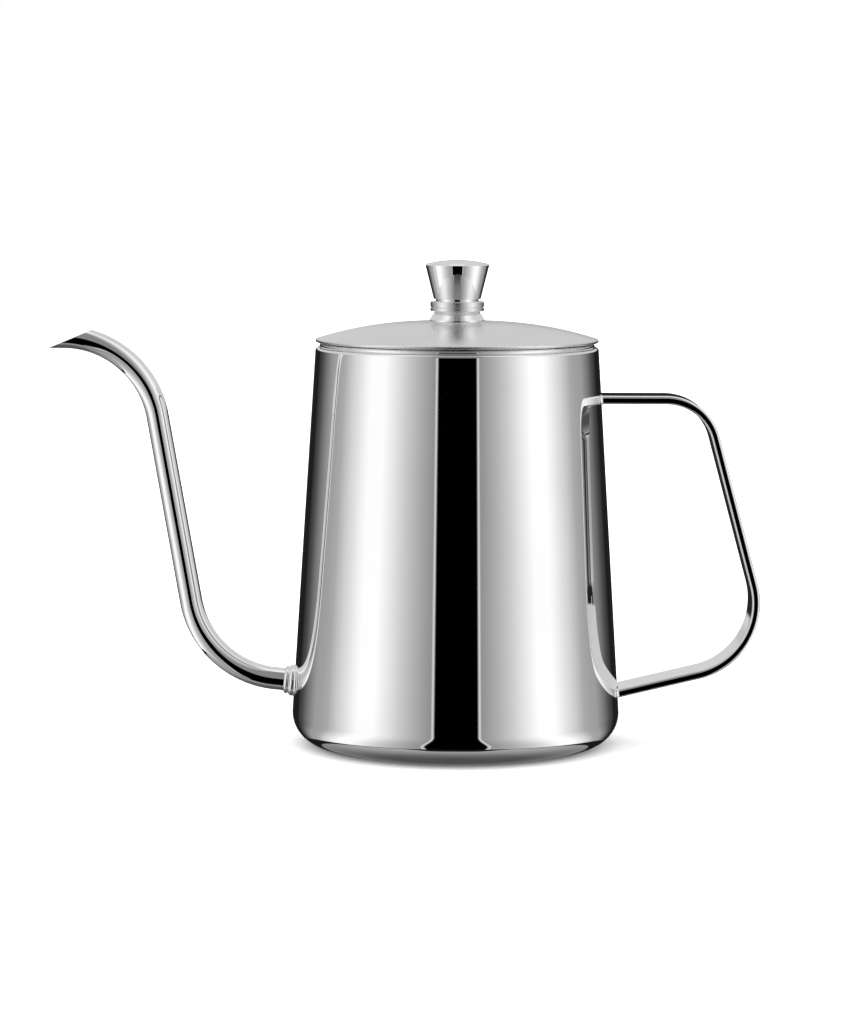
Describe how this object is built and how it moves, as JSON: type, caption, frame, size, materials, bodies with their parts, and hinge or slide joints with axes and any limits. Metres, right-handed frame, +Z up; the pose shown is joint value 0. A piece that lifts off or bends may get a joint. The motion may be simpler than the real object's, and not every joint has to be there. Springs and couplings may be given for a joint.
{
  "type": "gooseneck kettle",
  "caption": "Pour-over kettle with a tapered round body, slim curved gooseneck spout, open flat-strap handle and lift-off domed lid with a turned knob.",
  "frame": {"origin": "centre of the flat base, on the surface that the kettle stands on, on the axis of the body", "axes": "+Z up along the body's axis, -X towards the spout, +X towards the handle, -Y the side that faces the viewer"},
  "size_m": [0.2098, 0.0968, 0.143],
  "materials": {
    "mirror_steel": "mirror polished stainless steel",
    "satin_steel": "fine satin brushed stainless steel",
    "screw_steel": "plain stainless steel hardware"
  },
  "bodies": {
    "kettle": {"body_wall": "mirror_steel", "base_pan": "mirror_steel", "spout_tube": "mirror_steel", "spout_collar": "mirror_steel", "handle_strap": "mirror_steel"},
    "lid": {"lid_dome": "satin_steel", "lid_skirt": "satin_steel", "knob_foot": "mirror_steel", "knob_ring": "satin_steel", "knob_grip": "mirror_steel", "knob_screw": "screw_steel", "knob_washer": "screw_steel"}
  },
  "joints": [
    {"name": "lid_lift", "type": "slide", "parent": "kettle", "child": "lid", "axis": [0, 0, 1], "range_m": [0, 0.07]}
  ]
}
